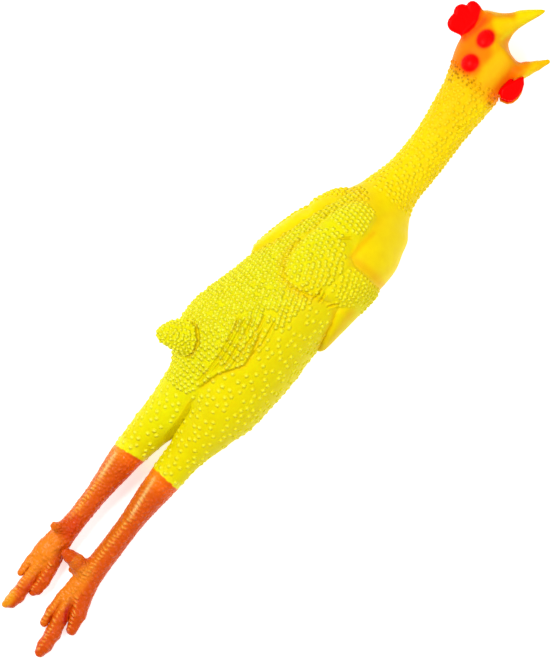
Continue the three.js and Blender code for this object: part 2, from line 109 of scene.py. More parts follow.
# Chains of balls, (x, y, z, radius) each, joined by cones. A toe's second ball is at its joint.
TOES = {
    "right": {
        "inner": [(-226, -12.4, 6.6, 4.6), (-238, -10.9, 5.4, 3.5), (-250, -12, 4.9, 3.3),
                  (-259.2, -13.6, 4.2, 3.2)],
        "middle": [(-226, -16, 6.8, 5.8), (-239, -16.8, 6, 4.7), (-250, -19.9, 5.6, 5.3),
                   (-261, -22.8, 5.4, 5.4), (-271, -24, 5.2, 5.1), (-276.4, -24.3, 4.9, 3.8)],
        "outer": [(-218, -19, 6.8, 6.2), (-230.5, -23.6, 6, 6.3), (-240, -27.4, 5.4, 5.7),
                  (-251, -31.2, 4.4, 3.9)],
        "hallux": [(-214, -14, 7.4, 7.4), (-213.5, -9.2, 11.2, 6.9), (-213, -3.4, 14.6, 5.5),
                   (-212.9, 2, 17.2, 4.6), (-213, 5.8, 19.4, 3.1)],
    },
    "left": {
        "inner": [(-220, 19.6, 6.2, 4.8), (-232, 21.4, 5.3, 3.4), (-243.4, 20.7, 4.6, 2.6)],
        "middle": [(-226, 15.6, 6.4, 5.4), (-238, 14.2, 5.8, 4.7), (-248, 13, 5.5, 4.9),
                   (-257, 12.4, 5.2, 5.2), (-262.8, 13.2, 4.9, 4.4), (-266.8, 14.8, 4.9, 2.6)],
        "outer": [(-216, 11, 6.6, 5.2), (-228, 7.4, 5.6, 5.3), (-238, 5.5, 5.2, 4.9),
                  (-245, 5.3, 4.8, 4.2), (-248.4, 6, 4.6, 2.7)],
        "hallux": [(-196, 14, 9, 5), (-202, 19.8, 14, 4.4), (-204, 23.4, 17.6, 3.1)],
    },
}
SPUR = [(-217, -9, 8, 4.2), (-219.2, -4.6, 9, 2.6)]  # a knob beside the right hallux
TAIL = [(-45.5, 34, 53.5, 13), (-48.5, 40, 58, 11), (-51.6, 45.4, 61.4, 8.8), (-55.6, 50, 62.4, 5.4)]
JAW = [(235.5, -18.2, HEAD_Z, 6.4), (241, -21.3, HEAD_Z, 5), (247.5, -25.4, HEAD_Z, 3.4),
       (254.4, -29.4, HEAD_Z, 1.7)]
JAW_FLAT = 1.55  # how much deeper than high the lower beak is
COMB_DISCS = [(234, 35, 6), (236.6, 35.8, 5.2), (242.5, 36.9, 5.7), (250, 33.9, 4.1)]
COMB_BASE = [(235.5, 29, 5.8), (243, 29.5, 5.4), (249, 30, 4.4)]
COMB_RED = [(225, 28), (231, 26.4), (235, 24.6), (240, 24), (246, 25.4), (252, 28.4), (257, 31), (257, 46),
            (225, 46)]
WATTLE = [(214.4, -21), (216.4, -18.4), (219.5, -16.8), (223.2, -17.4), (228, -19.4), (232.4, -21.2),
          (236, -23.2), (232, -27), (228, -28.8), (223.5, -29.4), (219, -28.5), (216, -26)]
WATTLE_OUT = 8.8  # from the head's middle plane
WATTLE_ROOT = [(217.5, -17.4, 22.4, 2.2), (228, -18.6, 21.8, 2)]  # sunk in the head
SPINE_ROLL = math.radians(40)
SLIT = 0.52  # half of the gap between the legs
TOE_PROUD = 0.12
LEG_SPAN = (-227, -52)

# Outlines on the casting's right half, x and y.
ELBOW = [(25, 5), (26, 11), (30, 16), (36, 19.5), (45, 20.8), (56, 19.5), (66, 16), (72, 8), (72, 0),
         (66, -7), (60, -12), (50, -14), (40, -13.5), (31, -11), (26, -4)]
UPPER_ARM = [(76, 16), (84, 15), (92, 12.5), (99, 8), (101, 0), (98, -8), (88, -9.5), (78, -7), (75, 4)]
WRIST = [(38, -14), (46, -15.5), (54, -15), (60, -17), (62.5, -24), (62.5, -34), (60, -48), (38, -48),
         (37, -34), (36, -24)]
ARM = [(25, 5), (26, 11), (30, 16), (36, 19.5), (45, 20.8), (56, 20), (66, 18.5), (78, 17.5), (90, 14),
       (99, 8), (101.5, 0), (98, -9), (88, -11), (76, -11.5), (66, -13), (62.8, -18), (63, -34), (60, -48),
       (36, -48), (35, -34), (33, -22), (29, -11), (26, -4)]
ARM_HIGH, ARM_SOFT = 3.8, 2.2
# Hollows between the arm's bulges: line, depth, width.
ARM_DIPS = [
    ([(68, 20), (73, 10), (74, 0), (70, -12)], 1.2, 4.0),
    ([(30, -13), (44, -15), (62, -17)], 0.9, 2.2),
]
RIGHT_HAND = [(52, 10), (40, 12), (30, 9.6), (22, 4.5), (15, 0.8), (8, -5), (3, -11), (2.2, -14.5),
              (5, -17.5), (14, -18), (26, -17), (38, -15.5), (52, -11)]
LEFT_HAND = [(25, 7), (27, 10), (36, 13), (46, 13), (46, -9), (36, -11), (28, -10), (25.5, -7)]
HAND_DEPTH = 1.5

# The squeaker's seat in the belly.
VENT_AT = (-40, -23.2, 11.9)
VENT_AXIS = (0, -0.69, -0.724)
VENT_COLLAR, VENT_LIP, VENT_HOLE = 12.2, 4.4, 9.2

# Creases pressed into the skin: points, depth, width.
CREASES = [
    ([(-30, -5), (-15, -4.6), (0, -1.5)], 0.5, 0.7),
    ([(-44, 1), (-28, 2.4), (-10, 4), (0, 7)], 0.6, 0.7),
    ([(-50, 4.6), (-40, 5.4), (-20, 8.6), (-6, 12)], 0.6, 0.7),
    ([(-56, 8.4), (-40, 9.4), (-22, 12.6), (-8, 16)], 0.5, 0.7),
    ([(-70, 12), (-45, 11.6), (-30, 14.4), (-10, 19.5)], 0.6, 0.7),
    ([(-60, 29), (-53, 27), (-45, 29), (-38, 36), (-33, 42), (-35, 48)], 0.8, 1.0),
    ([(28, -12), (37, -11.6)], 0.7, 0.6),
    ([(28, -16), (36, -15.2)], 0.7, 0.6),
    ([(29, -22), (37, -27)], 0.6, 0.6),
    ([(70, 1), (73, -1.5), (76, -5)], 0.6, 0.6),
    ([(180, -10), (184, -17)], 0.4, 0.5),
]
# The loose skin's edge over the thigh: it steps down towards smaller y.
FLAP_EDGE = [(-71, 9.6), (-60, 7), (-52, 5), (-44, -0.4), (-36, -4.6), (-28, -3.4), (-20, -0.6), (-6, 3.5)]
FLAP_RISE, FLAP_FALL = 0.6, 0.4
DOMES = [(238.5, 13, 6.4, 0.8), (219, 10.5, 6.2, 0.8)]  # eye and ear lobe: x, y, radius, height


# ---------------------------------------- implicit shapes
def curve(xs, ys):
    """A smooth curve through the stations, level past its ends."""
    xs, ys = np.asarray(xs, float), np.asarray(ys, float)
    gap, rise = np.diff(xs), np.diff(ys) / np.diff(xs)
    slope = np.zeros_like(ys)
    slope[1:-1] = (rise[:-1] * gap[1:] + rise[1:] * gap[:-1]) / (gap[:-1] + gap[1:])

    def at(x):
        x = np.clip(x, xs[0], xs[-1])
        i = np.clip(np.searchsorted(xs, x) - 1, 0, len(xs) - 2)
        t = (x - xs[i]) / gap[i]
        a, b = slope[i] * gap[i], slope[i + 1] * gap[i]
        u = 1 - t
        return ys[i] * (1 + 2 * t) * u * u + a * t * u * u + ys[i + 1] * t * t * (3 - 2 * t) - b * t * t * u

    return at


class Tube:
    """A body whose cross-section at each x is an ellipse."""

    def __init__(self, rows):
        x, top, bottom, z, high = np.array(sorted(rows), float).T
        self.middle, self.half = curve(x, (top + bottom) / 2), curve(x, (top - bottom) / 2)
        self.z, self.high = curve(x, z), curve(x, high)

    def ratio(self, x, y, z):
        return np.sqrt(((y - self.middle(x)) / self.half(x)) ** 2 + ((z - self.z(x)) / self.high(x)) ** 2)

    def __call__(self, x, y, z):
        ratio = self.ratio(x, y, z) + 1e-6
        along = self.ratio(x + 0.5, y, z) - self.ratio(x - 0.5, y, z)
        across = (y - self.middle(x)) / self.half(x) ** 2 / ratio
        up = (z - self.z(x)) / self.high(x) ** 2 / ratio
        return (ratio - 1) / np.sqrt(along**2 + across**2 + up**2 + 1e-5)


def smooth_min(a, b, k):
    h = np.clip(k - np.abs(a - b), 0, None) / k
    return np.minimum(a, b) - h * h * k / 4


def smooth_max(a, b, k):
    return -smooth_min(-a, -b, k)


def merge(fields, k):
    """The union of shapes, rounded by k where they meet."""
    return functools.reduce(lambda a, b: smooth_min(a, b, k), fields)


def chain(balls, x, y, z, flat=1.0, k=1.0):
    """A limb of round cones. flat stretches it in z."""
    def cone(start, end):
        (ax, ay, az, ar), (bx, by, bz, br) = start, end
        dx, dy, dz = bx - ax, by - ay, (bz - az) / flat
        px, py, pz = x - ax, y - ay, (z - az) / flat
        t = np.clip((px * dx + py * dy + pz * dz) / (dx * dx + dy * dy + dz * dz), 0, 1)
        return np.sqrt((px - t * dx) ** 2 + (py - t * dy) ** 2 + (pz - t * dz) ** 2) - (ar + (br - ar) * t)

    return merge(map(cone, balls, balls[1:]), k)


def discs(rows, x, y, k):
    return merge((np.hypot(x - cx, y - cy) - radius for cx, cy, radius in rows), k)


def plate(flat_distance, z, middle, thick):
    """A flat shape with a rounded rim: flat_distance is measured in its plane."""
    return np.hypot(np.maximum(flat_distance + thick, 0), z - middle) - thick


def outline(points, x, y):
    """Signed distance in the x, y plane to a closed outline, negative inside."""
    best, inside = None, np.zeros(np.broadcast(x, y).shape, bool)
    for (ax, ay), (bx, by) in zip(points, points[1:] + points[:1]):
        dx, dy = bx - ax, by - ay
        t = np.clip(((x - ax) * dx + (y - ay) * dy) / (dx * dx + dy * dy), 0, 1)
        d = np.hypot(x - ax - t * dx, y - ay - t * dy)
        best = d if best is None else np.minimum(best, d)
        if ay != by:
            crosses = ((ay > y) != (by > y)) & (x < ax + (y - ay) * dx / dy)
            inside = inside ^ crosses
    return np.where(inside, -best, best)


def along_line(line, x, y):
    """Signed distance to an open line, positive on its left, and how far along it, from 0 to 1."""
    ends = np.array(line, float)
    lengths = np.hypot(*np.diff(ends, axis=0).T)
    total, passed = lengths.sum(), 0.0
    shape = np.broadcast(x, y).shape
    best, side, place = np.full(shape, 1e9), np.zeros(shape), np.zeros(shape)
    for (ax, ay), (bx, by), length in zip(ends[:-1], ends[1:], lengths):
        ux, uy = (bx - ax) / length, (by - ay) / length
        t = np.clip((x - ax) * ux + (y - ay) * uy, 0, length)
        dx, dy = x - ax - t * ux, y - ay - t * uy
        d = np.hypot(dx, dy)
        near = d < best
        best = np.where(near, d, best)
        side = np.where(near, np.sign(ux * dy - uy * dx), side)
        place = np.where(near, (passed + t) / total, place)
        passed += length
    return best * side, place


TRUNK = Tube(TRUNK_ROWS)
LEGS = {side: Tube(rows) for side, rows in LEG_ROWS.items()}
# Near the hips the right thigh's skin laps over the left one's: by how much, and how far above the
# legs' middle they meet.
LIP, LIP_BACK = 4.2, 1.4
VALLEY = curve([-116, -100, -90, -80, -70], [3, 10.5, 15.2, 18.8, 21])


def ease(x, low, high):
    """0 below low, 1 above high, smooth between. low may be the larger."""
    t = np.clip((x - low) / (high - low), 0, 1)
    return t * t * (3 - 2 * t)


def roll(x):
    """The angle of the spine from +Y towards +Z: the body lies rolled, the head lies flat."""
    return SPINE_ROLL * ease(x, 190, 105)


def right_side(x, y, z):
    """y and z, folded over the casting's middle plane onto its right half, which faces up."""
    ry, rz = -np.sin(roll(x)), np.cos(roll(x))
    over = np.minimum((y - TRUNK.middle(x)) * ry + (z - TRUNK.z(x)) * rz, 0)
    return y - 2 * over * ry, z - 2 * over * rz


def trunk(x, y, z):
    """Torso, neck and head, with the upper wings moulded on."""
    f = TRUNK(x, y, z)
    if x.max() > 15 and x.min() < 110:
        fy, fz = right_side(x, y, z)
        inside = np.maximum(-outline(ARM, x, fy), 0)
        soft = ARM_SOFT + 6 * ease(x, 60, 76) * ease(fy, 6, -9)
        rise = ARM_HIGH * (1 - np.exp(-inside / soft))
        for line, depth, width in ARM_DIPS:
            rise = rise - depth * np.exp(-((along_line(line, x, fy)[0] / width) ** 2)) * ease(inside, 0, 3)
        f = f - rise * ease(fz, 34, 52)
    f = smooth_max(f, REAR_X - x, 12)
    return smooth_max(f, x - BEAK_TIP_X, 2)


def between_legs(x, y, z):
    """Signed distance from the plane halfway between the legs, positive on the right leg's side."""
    (ry, rz), (ly, lz) = ((leg.middle(x), leg.z(x)) for leg in LEGS.values())
    dy, dz = ry - ly, rz - lz
    ay, az = (ry + ly) / 2, (rz + lz) / 2
    lip = (LIP * ease(z - az - VALLEY(x), -5, 1) - LIP_BACK) * ease(x, -117, -105)
    return ((y - lip - ay) * dy + (z - az) * dz) / np.hypot(dy, dz)


def foot(side, x, y, z):
    """One leg with the stubs that its toes grow from. A slit keeps it apart from the other leg."""
    f = LEGS[side](x, y, z)
    way = 1 if side == "right" else -1
    f = smooth_max(f, SLIT - way * between_legs(x, y, z), 0.8)
    f = smooth_max(smooth_max(f, LEG_SPAN[0] - x, 7), x - LEG_SPAN[1], 7)
    if x.min() < -185:
        for balls in TOES[side].values():
            f = smooth_min(f, chain(balls[:2], x, y, z), 3.0)
        if side == "right":
            f = smooth_min(f, chain(SPUR, x, y, z), 2.0)
    return f


def toe(side, name, x, y, z):
    """One toe from its joint outwards, a little proud of its stub."""
    return smooth_max(chain(TOES[side][name][1:], x, y, z, k=2) - TOE_PROUD, 0.2 - z, 2)


def along_vent(x, y, z):
    """Height along the squeaker's axis, and distance from it."""
    py, pz = y - VENT_AT[1], z - VENT_AT[2]
    up = py * VENT_AXIS[1] + pz * VENT_AXIS[2]
    side = -py * VENT_AXIS[2] + pz * VENT_AXIS[1]
    return up, np.hypot(x - VENT_AT[0], side)


def skin(x, y, z):
    """The whole casting, negative inside."""
    low, high = float(x.min()), float(x.max())
    body = trunk(x, y, z) if high > -88 else np.full(np.broadcast(x, y, z).shape, 90.0)
    if high > 222 and low < 270:
        body = smooth_min(body, chain(JAW, x, y, z, JAW_FLAT), 3.2)
        flat = smooth_min(discs(COMB_DISCS, x, y, 1.0), discs(COMB_BASE, x, y, 3), 3)
        body = smooth_min(body, plate(flat, z, HEAD_Z, 2.7), 2.4)
    if high > -75 and low < -20:
        body = smooth_min(body, chain(TAIL, x, y, z, k=3), 1.6)
        up, out = along_vent(x, y, z)
        body = smooth_min(body, np.maximum(out - VENT_COLLAR, np.abs(up) - VENT_LIP), 4)
        body = smooth_max(body, np.minimum(VENT_HOLE - out, up + 10), 0.6)
    if low < -40:
        right = smooth_min(body, foot("right", x, y, z), 8)
        left = smooth_min(body, foot("left", x, y, z), 8)
        body = np.minimum(right, left)
    return smooth_max(body, 0.2 - z, 3)


def hand(shape, high, along, x, y, z):
    """A wing's end: a flap laid over the torso, with its outline in x and one slanting direction."""
    (ay, az), (vy, vz) = along
    edge = outline(shape, x, (y - ay) * vy + (z - az) * vz)
    depth = TRUNK(x, y, z)
    dome = high * (1 - np.exp(-np.maximum(-edge, 0) / 2.2)) + 0.3
    f = smooth_max(depth - dome, edge, 1.5)
    return smooth_max(f, -HAND_DEPTH - depth, 1.5)


def wattle(x, y, z):
    """The right wattle. The left one is its mirror image."""
    flap = plate(outline(WATTLE, x, y), z, HEAD_Z + WATTLE_OUT, 2.1)
    return smooth_min(flap, chain(WATTLE_ROOT, x, y, z), 2)


def in_slabs(field, points, width=16.0):
    """field at loose points, a slab of x at a time, so that far shapes are left out."""
    out = np.empty(len(points))
    slab = np.floor(points[:, 0] / width).astype(int)
    order = np.argsort(slab, kind="stable")
    for part in np.split(order, np.nonzero(np.diff(slab[order]))[0] + 1):
        x, y, z = points[part].T
        out[part] = field(x, y, z)
    return out


def gradient(field, points, reach=0.12):
    """The field's slope at points, from a tetrahedron of samples."""
    corners = np.array([(1, -1, -1), (-1, -1, 1), (-1, 1, -1), (1, 1, 1)], float)
    total = np.zeros_like(points)
    for corner in corners:
        total += corner * in_slabs(field, points + corner * reach)[:, None]
    return total / (4 * reach)


def off_surface(field, points):
    """How far each point is off the surface, and which way."""
    slope = gradient(field, points)
    return in_slabs(field, points)[:, None] * slope / ((slope**2).sum(1, keepdims=True) + 1e-9)


# ---------------------------------------- meshing
def sample_grid(field, low, high):
    axes = [np.arange(a, b + STEP, STEP) for a, b in zip(low, high)]
    grid = np.empty([len(a) for a in axes], np.float32)
    slab = max(2, int(12 / STEP))
    for start in range(0, len(axes[0]), slab):
        x = axes[0][start:start + slab, None, None]
        grid[start:start + slab] = field(x, axes[1][None, :, None], axes[2][None, None, :])
    return grid


def surface_net(grid, low):
    """One point in each cell that the surface crosses, and a quad across each crossed grid edge."""
    inside = grid < 0
    count = np.zeros([n - 1 for n in grid.shape], np.int8)
    cuts = slice(None, -1), slice(1, None)
    for corner in itertools.product(cuts, repeat=3):
        count += inside[corner]
    cells = np.argwhere((count > 0) & (count < 8))
    number = np.full(count.shape, -1, np.int32)
    number[tuple(cells.T)] = np.arange(len(cells))
    total, hits = np.zeros((len(cells), 3)), np.zeros(len(cells))
    for axis in range(3):
        others = [a for a in range(3) if a != axis]
        for offset in itertools.product((0, 1), repeat=2):
            near = cells.copy()
            near[:, others] += offset
            far = near.copy()
            far[:, axis] += 1
            a, b = grid[tuple(near.T)], grid[tuple(far.T)]
            crossed = (a < 0) != (b < 0)
            point = near.astype(float)
            point[:, axis] += np.where(crossed, a / np.where(crossed, a - b, 1), 0)
            total += point * crossed[:, None]
            hits += crossed
    points = total / hits[:, None] * STEP + np.array(low)
    quads = []
    for axis, b, c in ((0, 1, 2), (1, 2, 0), (2, 0, 1)):
        lower, upper = (inside[(slice(None),) * axis + (cut,)] for cut in cuts)
        at = np.argwhere(lower != upper)
        low_side = (at[:, b] > 0) & (at[:, c] > 0)
        at = at[low_side & (at[:, b] < grid.shape[b] - 1) & (at[:, c] < grid.shape[c] - 1)]
        outward = lower[tuple(at.T)]
        ring = []
        for db, dc in ((-1, -1), (0, -1), (0, 0), (-1, 0)):
            cell = at.copy()
            cell[:, b] += db
            cell[:, c] += dc
            ring.append(number[tuple(cell.T)])
        quad = np.stack(ring, 1)
        quad[~outward] = quad[~outward][:, ::-1]
        quads.append(quad)
    return points, np.concatenate(quads)


def relax(points, quads, field, rounds=3):
    """Evens the mesh out along the surface and puts each point back on it."""
    edges = np.concatenate([quads[:, [i, (i + 1) % 4]] for i in range(4)])
    edges = np.concatenate([edges, edges[:, ::-1]])
    degree = np.bincount(edges[:, 0], minlength=len(points))[:, None]
    for _ in range(rounds):
        mean = np.stack([np.bincount(edges[:, 0], points[edges[:, 1], a], len(points)) for a in range(3)], 1)
        points = 0.4 * points + 0.6 * mean / degree
        shift = off_surface(field, points)
        length = np.linalg.norm(shift, axis=1, keepdims=True)
        points = points - shift * np.minimum(1, STEP / (length + 1e-9))
    return points


def normals_of(points, quads):
    a, b, c, d = (points[quads[:, i]] for i in range(4))
    face = np.cross(c - a, d - b)
    out = np.zeros_like(points)
    for i in range(4):
        for axis in range(3):
            out[:, axis] += np.bincount(quads[:, i], face[:, axis], len(points))
    return out / (np.linalg.norm(out, axis=1, keepdims=True) + 1e-12)


def mesh_of(field, low, high):
    points, quads = surface_net(sample_grid(field, low, high), low)
    return relax(points, quads, field), quads


# ---------------------------------------- relief
def lattice(tube, low, high, spacing, jitter, random):
    """Rows of points around a tube, staggered, counted from the spine."""
    rows = []
    for i, x in enumerate(np.arange(low, high, spacing * 0.866)):
        reach = float(tube.half(x) + tube.high(x)) / 2
        count = int(math.pi * reach / spacing)
        turn = (np.arange(-count, count + 1) + 0.5 * (i % 2)) * spacing / reach + float(roll(np.float64(x)))
        rows.append(np.stack([np.full(len(turn), x), tube.middle(x) + tube.half(x) * np.cos(turn),
                              tube.z(x) + tube.high(x) * np.sin(turn)], 1))
    points = np.concatenate(rows)
    return points + random.normal(0, jitter * spacing, points.shape) * 0.3


def sock_edge(side, y):
    """Where a leg's orange starts, x at each y."""
    top_x, low_x, top_y, low_y = SOCK_TOP[side]
    return top_x + (low_x - top_x) * (top_y - y) / (top_y - low_y)


def on_strip(p):
    """The left wing, where it shows from above, is smooth."""
    fy, fz = right_side(*p.T)
    return (outline(ARM, p[:, 0], fy) < 0.3) & (np.abs(fy - p[:, 1]) > 1) & (p[:, 2] > 44) & (fz > 34)


def bump_sets(random):
    """Each kind of follicle bump: its centres, radius, height, and the least distance to others."""
    def inside(shape, margin):
        return lambda x, y, z, turn: (outline(shape, x, y) < -margin) & (z > 40)

    def off_arm(test):
        return lambda x, y, z, turn: test(x, y, turn) & ((outline(ARM, x, y) > 0.3) | (z < 34))

    def on_back(x, y, turn):
        above_flap = y > np.interp(x, *np.array(FLAP_EDGE).T) + 0.8
        return (turn < BACK_TURN) & ((x > FLAP_EDGE[-1][0]) | above_flap)

    for low, high, spacing, jitter, test, *sizes in (
            (27, 72, 3.6, 0.35, inside(ELBOW, 0.8), 1.65, 0.85, 2.8),
            (74, 101, 3.2, 0.3, inside(UPPER_ARM, 0.2), 1.5, 0.75, 2.6),
            (37, 64, 3.3, 0.3, inside(WRIST, 0.6), 1.5, 0.75, 2.7),
            (-76, 106, 3.5, 0.3, off_arm(on_back), 1.75, 1.0, 2.9),
            (-67, 22, 5.7, 0.7, off_arm(lambda *at: ~on_back(*at)), 1.7, 0.62, 4.2),
            (20, 100, 8.5, 0.9, off_arm(lambda x, y, turn: turn > BACK_TURN), 1.3, 0.4, 6.0),
            (104, 213, 3.8, 0.45, lambda x, y, z, turn: turn >= 0, 1.45, 0.62, 3.2)):
        p = lattice(TRUNK, low, high, spacing, jitter, random)
        x, y, z = p.T
        turn = np.arctan2(z - TRUNK.z(x), y - TRUNK.middle(x)) - roll(x)
        turn = np.abs((turn + math.pi) % (2 * math.pi) - math.pi)
        yield p[test(x, *right_side(x, y, z), turn)], *sizes
    for side, leg in LEGS.items():
        p = lattice(leg, -134, -66, 5.8, 0.8, random)
        yield p[p[:, 0] > sock_edge(side, p[:, 1]) + 1.9], 1.65, 0.6, 4.4
    ball = random.normal(size=(900, 3))
    ball /= np.linalg.norm(ball, axis=1, keepdims=True)
    centre = np.array(TAIL[2][:3])
    p = centre + ball * (TAIL[2][3] + 0.2)
    yield p, 1.3, 0.9, 2.7


def bump_field(points):
    """The height of the follicle bumps at each point, and 0 to 1 for how near a bump's top it is."""
    random = np.random.default_rng(5)
    kept, taken = [], {}
    for centres, radius, high, apart in bump_sets(random):
        for _ in range(3):
            centres = centres - np.clip(off_surface(skin, centres), -3, 3)
        good = (np.abs(in_slabs(skin, centres)) < 0.3) & ~on_strip(centres)
        x, (fy, fz) = centres[:, 0], right_side(*centres.T)
        good &= (np.abs(between_legs(*centres.T)) > 2.4) | (x > -76)
        good &= ~((x > 60) & (x < 112) & (fy < np.interp(x, *BREAST_TOP)) & (outline(ARM, x, fy) > 0.3))
        for line, _, width in CREASES:
            good &= (np.abs(along_line(line, x, fy)[0]) > 0.9 * width) | (fz < 40)
        scale = random.uniform(0.8, 1.15, len(centres))
        for point, size in zip(centres[good], scale[good]):
            cell = tuple((point // 8).astype(int))
            near = [q for i, j, k in itertools.product((-1, 0, 1), repeat=3)
                    for q in taken.get((cell[0] + i, cell[1] + j, cell[2] + k), ())]
            if near and min(((q - point) ** 2).sum() for q in near) < (apart * 0.86) ** 2:
                continue
            taken.setdefault(cell, []).append(point)
            kept.append((point, radius * (0.7 + 0.3 * size), high * size))
    tree = kdtree.KDTree(len(kept))
    for i, (point, _, _) in enumerate(kept):
        tree.insert(point, i)
    tree.balance()
    found = [tree.find(p) for p in points.tolist()]
    which = np.array([f[1] for f in found])
    away = np.array([f[2] for f in found])
    radius, high = np.array([k[1:] for k in kept])[which].T
    top = np.clip(1 - (away / radius) ** 2, 0, 1) ** 1.3
    rim = np.exp(-(((away - radius * 1.15) / 0.5) ** 2))
    return high * (top - 0.12 * rim), top


# Turns a cell's number into its own scattered point.
SPIN = np.array([[12.99, 26.65, 39.35], [78.23, 11.14, 57.11], [37.72, 83.16, 23.93]])


def cells(points, size, seed):
    """A cracked pattern: 0 along the cracks and up to 1 inside each cell."""
    p = points / size
    base = np.floor(p)
    first = second = np.full(len(p), 9.0)
    for offset in itertools.product((-1, 0, 1), repeat=3):
        cell = base + offset
        spin = np.sin(cell @ SPIN + seed) * 4375.85
        d = np.linalg.norm(cell + spin - np.floor(spin) - p, axis=1)
        second = np.minimum(second, np.maximum(first, d))
        first = np.minimum(first, d)
    return np.clip((second - first) * 1.6, 0, 1)


def fold_field(x, y, z):
    """Creases and the loose skin's edge, and 0 to 1 for how deep in a crease a point is."""
    fy, fz = right_side(x, y, z)
    rise, deep = np.zeros((2, len(x)))
    upper = ease(fz, 36, 48) * ((x > -72) & (x < 110)) + (x > 150) * (z > HEAD_Z)
    for line, depth, width in CREASES:
        away, place = along_line(line, x, fy)
        away = np.abs(away) / width
        taper = ease(place, 0, 0.12) * ease(place, 1, 0.88) * upper
        rise += (0.45 * np.exp(-(((away - 2.2) / 1.1) ** 2)) - np.exp(-(away**2))) * depth * taper
        deep = np.maximum(deep, np.exp(-((away / 1.3) ** 2)) * taper * min(1, depth))
    away, place = along_line(FLAP_EDGE, x, fy)
    taper = ease(place, 0, 0.1) * ease(place, 1, 0.8) * upper * (np.abs(away) < 30)
    over = FLAP_RISE * ease(away, -0.5, 0.9) * np.exp(-np.maximum(away - 1, 0) / 5)
    under = FLAP_FALL * ease(away, 0.5, -0.9) * np.exp(-np.maximum(-away - 1, 0) / 3.2)
    rise += (over - under) * taper
    deep = np.maximum(deep, np.exp(-(((away + 0.9) / 1.3) ** 2)) * taper)
    return rise, deep


def wrinkle_field(points):
    """Scales on the shanks and knuckles on the feet: height, and 0 to 1 for how high on a ridge."""
    x, y, z = points.T
    scaly = ease(x, -131, -134)
    foot_part = ease(x, -214, -226)
    fine = cells(points * (1, 0.8, 0.8), 2.6, 3)
    knuckle = cells(points * (1.0, 0.6, 0.6), 3.0, 8)
    patch = cells(points * (0.5, 1, 1), 3.4, 21)
    wave = np.sin(x * 2.3 + 0.9 * np.sin(y * 0.9) + 1.2 * np.sin(x * 0.31))
    stripe = np.zeros(len(x))
    for line in STRIPES:
        away, place = along_line(line, x, y)
        stripe = np.maximum(stripe, np.exp(-((away / (2.1 - 0.7 * foot_part)) ** 2)) * ease(place, 1, 0.9))
    stripe *= z > 4
    ticks = (0.45 + 0.55 * patch) * (wave * 0.5 + 0.5)
    rise = 0.75 * ticks * stripe - 0.4 * (1 - fine) * (1 - foot_part) - 0.32 * (1 - knuckle) * foot_part
    ridge = 0.3 * fine * (1 - foot_part) + ticks * stripe + 0.3 * knuckle * foot_part * ease(z, 4, 9)
    return rise * scaly, np.clip(ridge, 0, 1) * scaly


# ---------------------------------------- paint, with painted shade and highlights
def colour(red, green, blue):
    """A screen colour from 0 to 255, as the linear light that the shader takes."""
    c = np.array([red, green, blue]) / 255
    return np.where(c <= 0.04045, c / 12.92, ((c + 0.055) / 1.055) ** 2.4) * PAINT_LEVEL


def lay(paint, tint, amount):
    paint += (colour(*tint) - paint) * np.clip(amount, 0, 1)[:, None]


def spot(x, y, cx, cy, rx, ry, soft):
    """1 inside an ellipse, fading to 0 over soft millimetres outside it."""
    away = (np.hypot((x - cx) / rx, (y - cy) / ry) - 1) * min(rx, ry)
    return ease(away, soft, 0)


def stroke(line, x, y, width):
    return np.exp(-((along_line(line, x, y)[0] / width) ** 2))


def lay_sprays(paint, sprays, x, y, where):
    for tint, amount, *ellipse in sprays:
        lay(paint, tint, amount * spot(x, y, *ellipse) * where)


def lay_strokes(paint, strokes, x, y, where):
    for line, width, tint, amount in strokes:
        lay(paint, tint, amount * stroke(line, x, y, width) * where)


